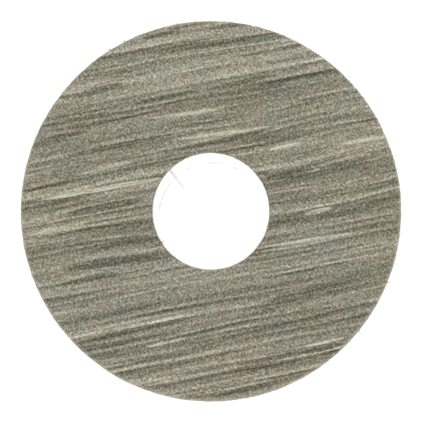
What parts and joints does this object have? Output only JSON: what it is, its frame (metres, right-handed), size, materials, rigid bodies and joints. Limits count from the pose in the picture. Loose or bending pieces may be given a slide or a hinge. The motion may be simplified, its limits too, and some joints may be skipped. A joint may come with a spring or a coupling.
{
  "type": "felt polishing wheel",
  "caption": "Flat ring-shaped felt polishing wheel with a streaked grey-brown face, a large centre bore, an adhesive back and a paper release liner that runs on under the bore.",
  "frame": {"origin": "centre of the underside, on the bore's axis, where the liner rests on a surface", "axes": "+Z along the bore's axis, up through the felt's working face; +Y is the way the pictured face points up, and the felt's streaks run about 11 degrees from +X towards +Y"},
  "size_m": [0.1016, 0.1016, 0.0036],
  "materials": {
    "felt": "dense matt felt, grey-brown with darker and paler fibre streaks running one way",
    "adhesive": "pale amber tacky acrylic",
    "film": "clear glossy polyester film",
    "liner_paper": "white silicone-coated paper, slight sheen"
  },
  "bodies": {
    "liner": {"release_liner": "liner_paper", "liner_centre_plug": "liner_paper"},
    "disc": {"felt_disc": "felt", "felt_side_adhesive": "adhesive", "carrier_film": "film", "liner_side_adhesive": "adhesive"}
  },
  "joints": [
    {"name": "disc_lift", "type": "slide", "parent": "liner", "child": "disc", "axis": [0, 0, 1], "range_m": [0, 0.03]}
  ]
}
